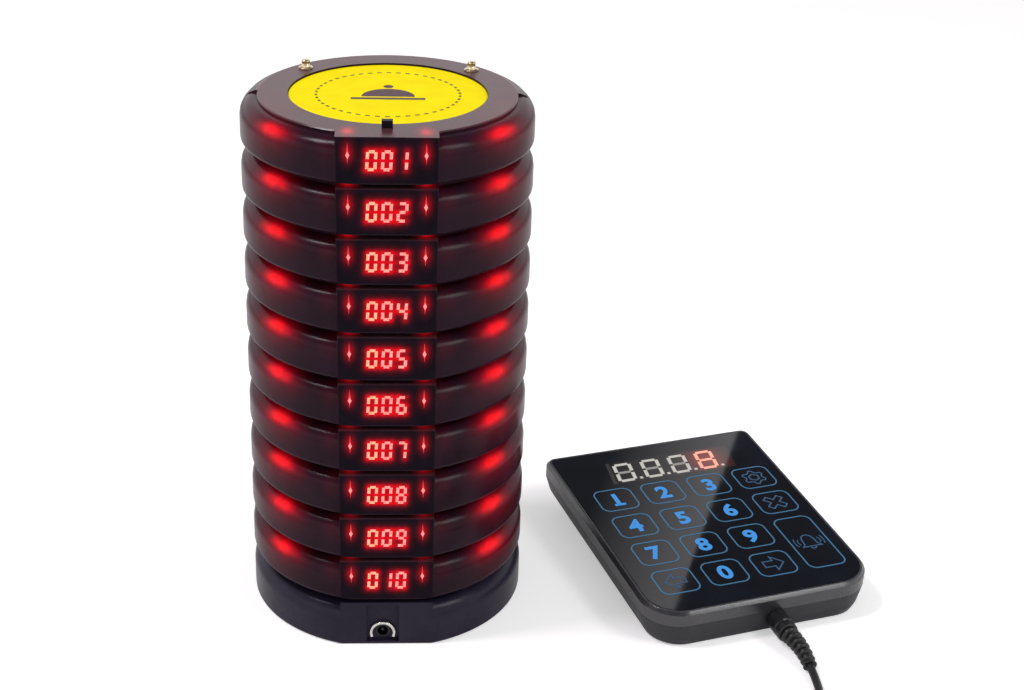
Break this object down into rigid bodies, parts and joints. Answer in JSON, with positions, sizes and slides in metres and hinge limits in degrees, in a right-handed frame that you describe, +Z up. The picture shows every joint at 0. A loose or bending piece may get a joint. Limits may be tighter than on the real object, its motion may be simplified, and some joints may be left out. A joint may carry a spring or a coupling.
{
  "type": "guest pager system",
  "caption": "Charging base with a stack of round numbered guest pagers, and a touch-key keypad transmitter with its power lead.",
  "frame": {"origin": "on the table, at the axis of the pager stack, on the underside of the base's pad", "axes": "+Z up the stack, the pagers' number displays face -Y, the keypad stands on the +X side"},
  "size_m": [0.2291, 0.2162, 0.1947],
  "materials": {
    "smoked_cover": "gloss",
    "pager_case": "satin",
    "label_film": "satin",
    "pager_electronics": "satin",
    "base_shell": "gloss",
    "base_floor": "matt",
    "contact_brass": "polished",
    "circuit_board": "satin",
    "jack_black": "matt",
    "jack_ring": "polished",
    "pad_rubber": "matt",
    "screw_steel": "satin",
    "keypad_shell": "satin",
    "keypad_rim": "gloss",
    "black_glass": "gloss",
    "number_display": "matt",
    "lead_rubber": "satin"
  },
  "bodies": {
    "table_set": {"base_case": "base_shell", "base_bottom": "base_floor", "base_pins": "contact_brass", "base_board": "circuit_board", "base_dc_jack": "jack_black", "base_jack_ring": "jack_ring", "base_foot_pad": "pad_rubber", "base_screws": "screw_steel", "keypad_case": "keypad_shell", "keypad_bezel": "keypad_rim", "keypad_glass": "black_glass", "keypad_board": "circuit_board", "keypad_display": "number_display", "keypad_dc_jack": "jack_black", "keypad_feet": "pad_rubber", "keypad_screws": "screw_steel", "lead_plug": "lead_rubber", "lead_cable": "lead_rubber", "lead_coil": "lead_rubber", "lead_usb_plug": "lead_rubber"},
    "pager_10": {"pager_10_case": "pager_case", "pager_10_cover": "smoked_cover", "pager_10_label": "label_film", "pager_10_internals": "pager_electronics"},
    "pager_09": {"pager_09_case": "pager_case", "pager_09_cover": "smoked_cover", "pager_09_label": "label_film", "pager_09_internals": "pager_electronics"},
    "pager_08": {"pager_08_case": "pager_case", "pager_08_cover": "smoked_cover", "pager_08_label": "label_film", "pager_08_internals": "pager_electronics"},
    "pager_07": {"pager_07_case": "pager_case", "pager_07_cover": "smoked_cover", "pager_07_label": "label_film", "pager_07_internals": "pager_electronics"},
    "pager_06": {"pager_06_case": "pager_case", "pager_06_cover": "smoked_cover", "pager_06_label": "label_film", "pager_06_internals": "pager_electronics"},
    "pager_05": {"pager_05_case": "pager_case", "pager_05_cover": "smoked_cover", "pager_05_label": "label_film", "pager_05_internals": "pager_electronics"},
    "pager_04": {"pager_04_case": "pager_case", "pager_04_cover": "smoked_cover", "pager_04_label": "label_film", "pager_04_internals": "pager_electronics"},
    "pager_03": {"pager_03_case": "pager_case", "pager_03_cover": "smoked_cover", "pager_03_label": "label_film", "pager_03_internals": "pager_electronics"},
    "pager_02": {"pager_02_case": "pager_case", "pager_02_cover": "smoked_cover", "pager_02_label": "label_film", "pager_02_internals": "pager_electronics"},
    "pager_01": {"pager_01_case": "pager_case", "pager_01_cover": "smoked_cover", "pager_01_label": "label_film", "pager_01_internals": "pager_electronics"}
  },
  "joints": [
    {"name": "pager_10_lift", "type": "slide", "parent": "table_set", "child": "pager_10", "axis": [0, 0, 1], "range_m": [0, 0.025]},
    {"name": "pager_09_lift", "type": "slide", "parent": "pager_10", "child": "pager_09", "axis": [0, 0, 1], "range_m": [0, 0.025]},
    {"name": "pager_08_lift", "type": "slide", "parent": "pager_09", "child": "pager_08", "axis": [0, 0, 1], "range_m": [0, 0.025]},
    {"name": "pager_07_lift", "type": "slide", "parent": "pager_08", "child": "pager_07", "axis": [0, 0, 1], "range_m": [0, 0.025]},
    {"name": "pager_06_lift", "type": "slide", "parent": "pager_07", "child": "pager_06", "axis": [0, 0, 1], "range_m": [0, 0.025]},
    {"name": "pager_05_lift", "type": "slide", "parent": "pager_06", "child": "pager_05", "axis": [0, 0, 1], "range_m": [0, 0.025]},
    {"name": "pager_04_lift", "type": "slide", "parent": "pager_05", "child": "pager_04", "axis": [0, 0, 1], "range_m": [0, 0.025]},
    {"name": "pager_03_lift", "type": "slide", "parent": "pager_04", "child": "pager_03", "axis": [0, 0, 1], "range_m": [0, 0.025]},
    {"name": "pager_02_lift", "type": "slide", "parent": "pager_03", "child": "pager_02", "axis": [0, 0, 1], "range_m": [0, 0.025]},
    {"name": "pager_01_lift", "type": "slide", "parent": "pager_02", "child": "pager_01", "axis": [0, 0, 1], "range_m": [0, 0.025]}
  ]
}
